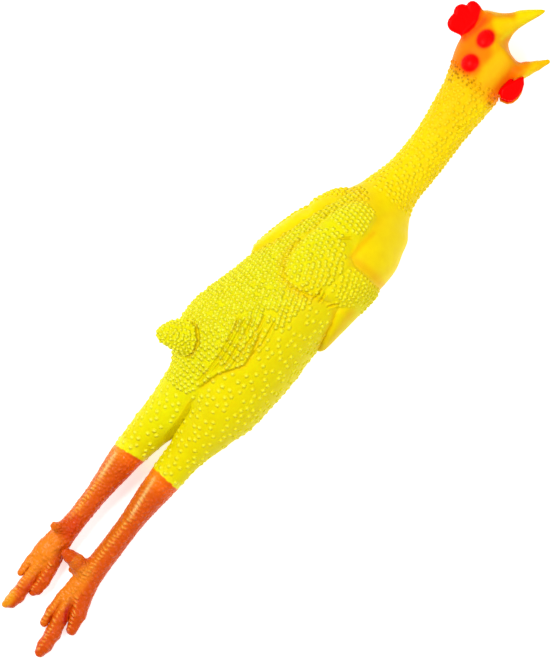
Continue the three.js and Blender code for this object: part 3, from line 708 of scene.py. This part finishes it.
def paint_of(points, top, deep, ridge):
    """The airbrushed colour of each point of the skin, with painted shade and painted highlights laid in."""
    x, y, z = points.T
    fy, fz = right_side(x, y, z)
    paint = np.tile(colour(*YELLOW), (len(x), 1))
    # Painted shade: a darker, deeper yellow between the follicle bumps.
    lay(paint, (228, 206, 0), 0.5 * (1 - top) * ease(x, -131, -125) * ease(x, 205, 150))
    lay(paint, (232, 230, 2), 0.7 * ease(fy, -6, 14) * ease(x, 110, 80))
    # Painted highlight on the bumps' tops, weaker towards the lower side.
    lay(paint, (255, 254, 90), 0.8 * top**1.5 * ease(x, 215, 190) * (1 - 0.5 * ease(fy, 0, -20)))
    lay(paint, (254, 222, 0), 0.7 * ease(x, 90, 118))
    lay(paint, (254, 200, 0), 0.75 * ease(x, 140, 206))
    # More painted highlight on the bumps' tops along the neck.
    lay(paint, (255, 242, 50), 0.5 * top * ease(x, 100, 120) * ease(x, 212, 200))
    body = (fz > 36) & (x < 115) & (x > -74)
    lay(paint, (255, 224, 0), 0.8 * ease(x, 56, 68) * ease(fy, -8, -15))
    arm = outline(ARM, x, fy)
    # Painted shade just outside the wing's outline.
    lay(paint, (248, 204, 0), 0.3 * np.exp(-(((arm - 0.8) / 2.2) ** 2)) * body)
    strip = body * (np.abs(fy - y) > 1) * ease(arm, 0.5, -0.5) * ease(x, 38, 46)
    lay(paint, (252, 228, 0), 0.9 * strip)
    # Painted shade along the wings' edges.
    for line, width, amount in WING_PAINTED_SHADE_STROKES:
        lay(paint, (246, 180, 0), amount * stroke(line, x, fy, width) * body)
    # Painted shade in the creases and along the loose skin's edge.
    lay(paint, (244, 192, 0), 0.5 * deep)
    # Painted light along the crease between the thighs, lifting its shade.
    lay(paint, (255, 236, 0), 0.9 * stroke(CROTCH_PAINTED_LIGHT_LINE, x, y, 2.2) * (z > 8))
    head = ease(x, 200, 214)
    lay(paint, (252, 178, 0), head)
    lay_sprays(paint, HEAD_SPRAYS, x, y, head)
    lay_strokes(paint, HEAD_STROKES, x, y, head)
    for cx, cy, rx, ry in RED_SPOTS:
        lay(paint, (255, 84, 0), 0.95 * spot(x, y, cx, cy, rx, ry, 2.6) * head)
        lay(paint, RED, spot(x, y, cx, cy, rx - 0.3, ry - 0.3, 1.5) * (np.abs(z - HEAD_Z) > 3) * head)
    comb_edge = outline(COMB_RED, x, y)
    lay(paint, (255, 80, 0), 0.9 * ease(comb_edge, 2.6, 0) * head)
    lay(paint, RED, ease(comb_edge, 0.5, -0.5) * head)
    face = np.abs(z - HEAD_Z) > 7
    # Painted shadow specks near the head.
    for low, high, bottom, peak, count in BUMP_SHADOW_SPECKS:
        for i in range(count):
            across, along, large = (i * share % 1 for share in SPREAD)
            cx, cy = low + (high - low) * across, bottom + (peak - bottom) * along
            radius = 0.22 + 0.25 * large
            lay(paint, (140, 84, 0), 0.7 * spot(x, y, cx, cy, radius, radius, 0.6) * face)
    for side in SOCK_TOP:
        own = between_legs(x, y, z) * (1 if side == "right" else -1) > 0
        wet = ease(x + 0.2 * np.sin(y * 1.1) + 0.2 * np.sin(z * 1.7) - sock_edge(side, y), 0.3, -0.3) * own
        upper = (y - LEGS[side].middle(x)) / LEGS[side].half(x)
        lay(paint, ORANGE, wet)
        # Painted light on the legs' upper sides and painted shade on their lower sides.
        lay(paint, (255, 150, 16), 0.7 * ease(upper, 0, 0.6) * wet)
        lay(paint, (236, 84, 0), 0.6 * ease(upper, 0.1, -0.5) * wet)
    leg = x < -136
    # Painted shade in the scales' cracks and painted highlights on their ridges.
    lay(paint, (196, 60, 0), 0.55 * (1 - ridge) * leg * ease(x, -136, -146))
    lay(paint, (255, 190, 100), 0.8 * ease(ridge, 0.35, 0.95) * leg)
    lay(paint, (255, 176, 60), 0.4 * ease(ridge, 0.2, 0.5) * leg)
    # A painted cream highlight at the start of the shanks' rows of ticks.
    for line in STRIPES[:2]:
        away, place = along_line(line, x, y)
        start = ease(place, 0.42, 0.3) * ease(place, 0, 0.05) * (z > 4)
        lay(paint, (255, 206, 130), 0.75 * np.exp(-((away / 1.1) ** 2)) * start)
    # Painted shade between the toes and under the right hallux.
    lay_strokes(paint, TOE_GAP_PAINTED_SHADE, x, y, leg & (z > 3))
    # Painted light on the feet's upper sides and painted shade under the left hallux.
    lay_sprays(paint, FOOT_SPRAYS_WITH_LIGHT_AND_SHADE, x, y, 1)
    return paint


PAINT_LEVEL = 0.85  # how much of the light the brightest paint returns
YELLOW, ORANGE, RED = (245, 237, 2), (248, 114, 2), (252, 0, 1)
BREAST_TOP = [60, 96, 104, 112], [-10, -10, 6, 12]  # the skin below this line, x and y, is smooth
BACK_TURN = math.radians(68)  # the dense bumps reach this far round from the spine
# Painted shade along the wings' edges and under the right wing's hand: line, width, amount.
WING_PAINTED_SHADE_STROKES = [
    ([(5, -36), (15, -33), (22, -32), (30, -28)], 1.8, 0.45),
    ([(26, -9), (23, 5), (26, 14), (35, 22), (46, 23)], 4.0, 0.14),
    ([(65.5, -18), (66.5, -30), (65, -42)], 3.2, 0.55),
    ([(66, -13), (76, -12.5), (88, -14)], 1.8, 0.5),
    ([(103, 12), (106, 0), (103, -10), (92, -13)], 4.0, 0.2),
    ([(5, -40), (20, -38), (38, -37)], 3.0, 0.4),
]
# Tint, amount, centre x and y, half sizes, softness.
HEAD_SPRAYS = [
    ((255, 130, 0), 0.9, 228, 19, 12, 5, 7),
    ((255, 128, 0), 0.85, 229, 11, 5, 6, 6),
    ((255, 120, 0), 0.8, 218, 11, 7, 7.2, 4),
    ((255, 112, 0), 0.85, 224, -16.5, 10, 1.4, 5.5),
    ((255, 196, 0), 0.85, 228, -3.5, 10, 3, 4),
    ((255, 214, 0), 0.95, 254, 9.5, 4.6, 5.4, 4),
    ((250, 226, 0), 1.0, 272, 1, 8, 6, 7),
    ((255, 206, 0), 0.9, 250, -27, 7, 4, 4),
    ((250, 218, 10), 0.8, 239, -25, 2.4, 1.2, 2),
    ((255, 120, 0), 0.8, 249.5, 23, 5, 3.6, 2.5),
]
# Where painted light lifts the shade of the crease between the thighs: x and y.
CROTCH_PAINTED_LIGHT_LINE = [(-116, 1), (-104, 2), (-92, 4.5), (-80, 7)]
# Line, width, tint, amount.
HEAD_STROKES = [
    ([(247, 1), (242.6, -2.6), (240.4, -7), (239.6, -13), (242, -19)], 2.2, (255, 156, 0), 0.8),
    ([(246, 4.5), (254, 3.6), (262, 1.4)], 1.4, (252, 226, 20), 0.6),
    ([(230, 24.4), (240, 22), (248, 22)], 2.6, (255, 84, 0), 0.9),
    ([(254, 19), (258, 14.5), (263, 9.5)], 2.4, (246, 150, 0), 0.7),
    # A painted highlight along the brow's rim.
    ([(254, 26), (258.4, 18)], 1.5, (255, 206, 0), 0.8),
    ([(248, -0.4), (262, -1.4), (274, -5)], 1.0, (236, 168, 0), 0.6),
]
RED_SPOTS = [(238.5, 13, 6.2, 5.0), (219, 10.4, 5.8, 5.2)]
# Painted shadow specks, small dark dots for the bumps' shadows near the head: lowest and highest x, lowest
# and highest y, how many.
BUMP_SHADOW_SPECKS = [(201, 214, 12, 20, 19), (206, 213, -1, 12, 13), (204, 214, -21, -17, 8), (178, 182, -9, -7, 1)]
SPREAD = (0.7549, 0.5698, 0.4142)  # steps that scatter the specks evenly: x, y, size
# Where the orange starts: x at the leg's upper and lower edges, and those edges' y.
SOCK_TOP = {"right": (-130, -131, -1.5, -24.5), "left": (-135.4, -131.4, 28.5, 6)}
# Rows of raised ticks down the shanks, whose starts get a painted cream highlight, and along the toes.
STRIPES = [[(-132, -6.8), (-150, -9.4), (-165, -12), (-200, -13.4), (-226, -15)],
           [(-137, 24), (-150, 22.4), (-165, 20.4), (-180, 19.4), (-198, 19)],
           [(-228, -15), (-244, -16.2), (-262, -20), (-279, -22.6)], [(-238, -10.4), (-262, -12)],
           [(-230, -19), (-242, -25), (-254, -30)], [(-226, 8.6), (-249, 7.4)], [(-232, 15.6), (-266, 16)]]
# Painted shade in the gaps between the toes and under the right hallux: line, width, tint, amount.
TOE_GAP_PAINTED_SHADE = [
    ([(-235, -16.6), (-243, -20), (-250, -24.4)], 1.7, (190, 10, 0), 0.95),
    ([(-240, -13), (-256, -15)], 1.1, (206, 46, 0), 0.7),
    ([(-230, 14.4), (-238, 11.8), (-250, 9.4)], 1.2, (206, 46, 0), 0.8),
    ([(-232, 19.4), (-246, 18.8)], 0.9, (206, 50, 0), 0.6),
    ([(-207, -8), (-219, -8)], 3.0, (214, 50, 0), 0.5),
]
# Painted light on the feet's upper sides, a yellow patch at a left toe's tip, and painted shade under the
# left hallux: tint, amount, centre x and y, half sizes, softness.
FOOT_SPRAYS_WITH_LIGHT_AND_SHADE = [
    ((252, 146, 24), 0.7, -226, 17.5, 13, 4.5, 6),
    ((255, 150, 30), 0.6, -228, -13, 12, 4, 5),
    ((255, 190, 20), 0.5, -264, 16, 4, 2, 4),
    ((214, 48, 0), 0.6, -198, 16, 6, 4, 5),
]


# ---------------------------------------- materials
def new_material(name):
    """A material, functions that add and link its nodes, and its shader."""
    material = bpy.data.materials.new(name)
    material.use_nodes = True
    tree = material.node_tree
    add = lambda kind: tree.nodes.new("ShaderNode" + kind)
    return material, add, tree.links.new, tree.nodes["Principled BSDF"]


def set_inputs(node, values):
    for label, value in values.items():
        node.inputs[label].default_value = value


def latex(name, roughness, grain, gloss):
    """Painted latex: its colour comes with the mesh, its grain and gloss from noise at rest places."""
    material, add, link, shader = new_material(name)
    set_inputs(shader, {"Specular IOR Level": gloss, "Subsurface Weight": 0.12,
                        "Subsurface Radius": (1.0, 0.55, 0.1), "Subsurface Scale": 0.003})
    paint, rest = add("Attribute"), add("Attribute")
    paint.attribute_name, rest.attribute_name = "paint", "rest"

    def noise(scale, detail):
        node = add("TexNoise")
        set_inputs(node, {"Scale": scale, "Detail": detail})
        link(rest.outputs["Vector"], node.inputs["Vector"])
        return node

    def ramp(source, low, high):
        node = add("MapRange")
        set_inputs(node, {"From Min": 0.3, "From Max": 0.7, "To Min": low, "To Max": high})
        link(source.outputs["Fac"], node.inputs["Value"])
        return node.outputs["Result"]

    mottle = add("Mix")
    mottle.data_type, mottle.blend_type = "RGBA", "MULTIPLY"
    mottle.inputs["B"].default_value = (0.93, 0.86, 0.7, 1)
    link(ramp(noise(0.16, 4), 0.0, 0.6), mottle.inputs["Factor"])
    link(paint.outputs["Color"], mottle.inputs["A"])
    link(mottle.outputs["Result"], shader.inputs["Base Color"])
    link(ramp(noise(0.5, 3), roughness - 0.06, roughness + 0.08), shader.inputs["Roughness"])
    bump = add("Bump")
    set_inputs(bump, {"Strength": 0.35, "Distance": grain / 1000})
    link(noise(1.4, 2).outputs["Fac"], bump.inputs["Height"])
    link(bump.outputs["Normal"], shader.inputs["Normal"])
    return material


# Roughness, grain in millimetres, gloss.
MATERIALS = {
    "skin_latex": latex("skin_latex_look", 0.4, 0.2, 0.05),
    "head_latex": latex("head_latex_look", 0.42, 0.12, 0.05),
    "red_latex": latex("red_latex_look", 0.42, 0.15, 0.03),
    "leg_latex": latex("leg_latex_look", 0.28, 0.35, 0.15),
}


def hard_plastic(name, tint, roughness, grain, scale):
    """The squeaker's moulded parts: mottled, with a fine surface grain."""
    material, add, link, shader = new_material(name)
    place, noise, bump, ramp = (add(kind) for kind in ("TexCoord", "TexNoise", "Bump", "ValToRGB"))
    set_inputs(noise, {"Scale": scale, "Detail": 4})
    link(place.outputs["Object"], noise.inputs["Vector"])
    link(noise.outputs["Fac"], ramp.inputs["Fac"])
    for stop, share in zip(ramp.color_ramp.elements, (0.86, 1.0)):
        stop.color = (*colour(*tint) * share, 1)
    link(ramp.outputs["Color"], shader.inputs["Base Color"])
    shader.inputs["Roughness"].default_value = roughness
    set_inputs(bump, {"Strength": 0.4, "Distance": grain / 1000})
    link(noise.outputs["Fac"], bump.inputs["Height"])
    link(bump.outputs["Normal"], shader.inputs["Normal"])
    return material


# The squeaker's nodes: tint, roughness, grain in millimetres, the mottle's scale.
SQUEAKER = {
    "squeaker_barrel": ((240, 240, 232), 0.35, 0.05, 900),
    "squeaker_carrier": ((226, 226, 214), 0.4, 0.05, 1200),
    "squeaker_grille": ((232, 232, 222), 0.35, 0.05, 1500),
    "squeaker_reed": ((246, 244, 230), 0.2, 0.03, 700),
}
for name, look in SQUEAKER.items():
    material = hard_plastic(name + "_look", *look)
    for slot in bpy.data.objects[name].material_slots:
        slot.material = material


# ---------------------------------------- pieces
def place_new(name, data):
    thing = bpy.data.objects.new(name, data)
    bpy.context.scene.collection.objects.link(thing)
    return thing


def show(name, points, quads, normals, paint, rest, slot):
    """Makes one shown mesh of some of the quads. Normals come from the whole skin, so cuts don't show."""
    used, local = np.unique(quads, return_inverse=True)
    mesh = bpy.data.meshes.new(name)
    mesh.from_pydata((points[used] / 1000).tolist(), [], local.reshape(quads.shape).tolist())
    for label, kind, values in (("paint", "COLOR", np.c_[paint[used], np.ones(len(used))]),
                                ("rest", "VECTOR", rest[used])):
        data = mesh.attributes.new(label, "FLOAT_" + kind, "POINT").data
        data.foreach_set(kind.lower(), values.astype(np.float32).ravel())
    mesh.polygons.foreach_set("use_smooth", [True] * len(mesh.polygons))
    mesh.normals_split_custom_set_from_vertices(normals[used].tolist())
    mesh.materials.append(MATERIALS[slot])
    piece = place_new(name, mesh)
    return piece


def whole(name, field, low, high, slot):
    """Makes one shown mesh of a shape of its own."""
    base, quads = mesh_of(field, low, high)
    points, normals, paint = relief_of(base, quads)
    return show(name, points, quads, normals, paint, base, slot)


def metres(point):
    return tuple(c / 1000 for c in point)


def beyond(points, start, end):
    """How far past start each point lies, on the way to end."""
    way = np.subtract(end, start)
    return (points - np.array(start)) @ (way / np.linalg.norm(way))


def relief_of(base, quads, bumpy=False):
    """Presses the relief into a mesh and paints it."""
    smooth = normals_of(base, quads)
    x, y, z = base.T
    if bumpy:
        (bumps, top), (folds, deep) = bump_field(base), fold_field(x, y, z)
    else:
        bumps = top = folds = deep = np.zeros(len(x))
    wrinkles, ridge = wrinkle_field(base)
    domes = sum(high * np.clip(1 - np.hypot(x - cx, y - cy) ** 2 / radius**2, 0, 1)
                for cx, cy, radius, high in DOMES) * (np.abs(z - HEAD_Z) > 5)
    points = base + smooth * (bumps + folds + wrinkles + domes)[:, None]
    points[:, 2] = np.maximum(points[:, 2], 0.1)
    normals = normals_of(points, quads)
    normals += RELIEF_SHADING * (normals - smooth)
    normals /= np.linalg.norm(normals, axis=1, keepdims=True)
    return points, normals, paint_of(base, top, deep, ridge)


RELIEF_SHADING = 1.6  # the mesh rounds small relief off, so its normals are sharpened by this much

CUT_EARLY = 0.8  # pieces are parted this far before the bend starts

base, quads = mesh_of(skin, (-285, -48, -2), (285, 60, 86))
points, normals, paint = relief_of(base, quads, True)
centres = base[quads].mean(1)
x, y, z = centres.T
right_leg = in_slabs(lambda *p: foot("right", *p) - foot("left", *p), centres) < 0

# Each skin piece: its faces past the bend, the bodies either side of its joint and the bend's start and end,
# slot, the CAD nodes it stands in for, which are hidden.
parts = [
    ("jaw_skin", (y < -6) & (x > 225), ("head", "jaw"), ((235, -14, 17), (241, -21, 17)), "head_latex",
     ["lower_beak"]),
    ("comb_skin", (x > 224) & (x < 258), ("head", "comb"), ((240, 27, 17), (240, 32, 17)), "red_latex",
     ["comb"]),
    ("head_skin", True, ("neck_upper", "head"), ((186, -3.5, 17), (198, -2.5, 17)), "head_latex",
     ["head_flex", "skull", "upper_beak", "eye_right", "eye_left", "ear_lobe_right", "ear_lobe_left"]),
    ("neck_upper_skin", True, ("neck_lower", "neck_upper"), ((149.5, -6.7, 15), (161.5, -6.1, 15)),
     "skin_latex", ["neck_middle_flex", "neck_upper"]),
    ("neck_lower_skin", True, ("torso", "neck_lower"), ((108, -6.7, 21.5), (120.5, -5.4, 18)),
     "skin_latex", ["neck_base_flex", "neck_lower"]),
    ("tail_skin", (np.abs(x + 52) < 16) & (y > 34), ("torso", "tail"), ((-49, 40.5, 59.5), (-51.2, 45.5, 62)),
     "skin_latex", ["tail_flex", "tail_tip"]),
]
for side in LEGS:
    for part, above, flex, start, end, slot in (
            ("foot", "shank_" + side, "ankle", (-184, 0, 9), (-194, 0, 9), "leg_latex"),
            ("shank", "thigh_" + side, "hock", (-127, 0, 15), (-141, 0, 15), "leg_latex"),
            ("thigh", "torso", "hip", (-80.5, 0, 30), (-99, 0, 30), "skin_latex")):
        node = f"{part}_{side}"
        parts.append((f"{part}_skin_{side}", right_leg == (side == "right"), (above, node), (start, end),
                      slot, [f"{flex}_flex_{side}", node]))
left = np.ones(len(quads), bool)
for name, mine, bodies, bend, slot, nodes in parts:
    mine = mine & left & (beyond(centres, *bend) > -CUT_EARLY)
    left &= ~mine
    piece = show(name, points, quads[mine], normals, paint, base, slot)
    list(bodies)
    metres(bend[0])
    metres(bend[1])
    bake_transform(piece)
    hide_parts(*nodes)
for name, mine, *nodes in (("torso_skin_front", x > 15, "wing_arm_right", "wing_arm_left"),
                           ("torso_skin_back", x <= 15, "torso_shell")):
    piece = show(name, points, quads[mine & left], normals, paint, base, "skin_latex")
    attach(piece, "torso")
    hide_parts(*nodes)

for side, toes in TOES.items():
    for name, balls in toes.items():
        ends = np.array(balls[1:])
        low, high = (ends[:, :3] - ends[:, 3:]).min(0) - 2, (ends[:, :3] + ends[:, 3:]).max(0) + 2
        node = f"toe_{name}_{side}"
        piece = whole(f"toe_skin_{name}_{side}", lambda *p: toe(side, name, *p), low, high, "leg_latex")
        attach(piece, node)
        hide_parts(node)

# The wings' ends: outline, height, place and slant in y and z, the box they are meshed in, the bend.
for side, shape, rise, slant, low, high, start, end in (
        ("right", RIGHT_HAND, 3.8, ((-35.4, 59.4), (0.545, 0.839)), (0, -48, 36), (56, -18, 80),
         (47, -38, 61), (40.5, -38, 61)),
        ("left", LEFT_HAND, 3.6, ((39, 41), (-0.07, 0.998)), (20, 28, 22), (50, 52, 60),
         (43, 43, 41), (37, 43, 41))):
    piece = whole("wing_hand_skin_" + side, lambda *p: hand(shape, rise, slant, *p), low, high, "skin_latex")
    metres(start)
    metres(end)
    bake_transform(piece)
    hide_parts("wing_hand_" + side)

base, quads = mesh_of(wattle, (210, -34, 17), (240, -12, 31))
normals = normals_of(base, quads)
paint = np.tile(colour(*RED), (len(base), 1))
rim = paint.copy()
lay(rim, (244, 160, 10), 0.9 * ease(outline(WATTLE, *base[:, :2].T), -1.4, -0.4))
LEFT_SHIFT = np.array([-1.3, -1.0, 2 * HEAD_Z])  # so that the left one's rim shows past the right one
WATTLE_BEND = np.array([(224, -17.6, 24), (224, -20.6, 25)])
for side, mirror, shift, tints, faces in (
        ("right", np.ones(3), 0, paint, quads),
        ("left", np.array([1, 1, -1]), LEFT_SHIFT, rim, quads[:, ::-1])):
    turned, bend = base * mirror + shift, WATTLE_BEND * mirror + shift
    piece = show("wattle_skin_" + side, turned, faces, normals * mirror, tints, turned, "red_latex")
    metres(bend[0])
    metres(bend[1])
    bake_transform(piece)
    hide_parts("wattle_" + side)


# ---------------------------------------- floor, light, camera
bpy.ops.mesh.primitive_plane_add(size=6, location=(0, 0, -0.0008))
floor = bpy.context.active_object
floor.name = "floor"
pale, _, _, shader = new_material("pale_floor")
set_inputs(shader, {"Base Color": (0.8, 0.8, 0.8, 1), "Roughness": 0.9,
                    "Emission Color": (1, 1, 1, 1), "Emission Strength": 0.58})
floor.data.materials.append(pale)
world = bpy.data.worlds.new("soft")
bpy.context.scene.world = world
world.use_nodes = True
set_inputs(world.node_tree.nodes["Background"], {"Color": (1, 1, 1, 1), "Strength": 0.42})
LAMPS = (("key", (-0.25, 0.98, 1.45), 0.6, 24), ("fill", (0.45, -0.95, 1.35), 1.2, 14))  # metres, watts
for name, place, size, watts in LAMPS:
    lamp = bpy.data.lights.new(name, "AREA")
    lamp.energy, lamp.size = watts, size
    light = place_new(name, lamp)
    light.location = place
    light.rotation_euler = (-Vector(place)).to_track_quat("-Z", "Y").to_euler()

VIEW_TURN = math.radians(49.85)  # how far the body's axis is turned up from level in the view
VIEW_HIGH = 0.448  # the height of the view at the object
VIEW_CENTRE = (-0.0041, -0.0053)
CAMERA_AWAY = 6.0
SENSOR = 24
lens = bpy.data.cameras.new("camera")
lens.sensor_fit, lens.sensor_height = "VERTICAL", SENSOR
lens.lens = SENSOR * CAMERA_AWAY / VIEW_HIGH
camera = place_new("camera", lens)
bpy.context.scene.camera = camera
camera.location = (*VIEW_CENTRE, CAMERA_AWAY + 0.02)
camera.rotation_euler = (0, 0, -VIEW_TURN)
bpy.context.scene.view_settings.view_transform = "Standard"
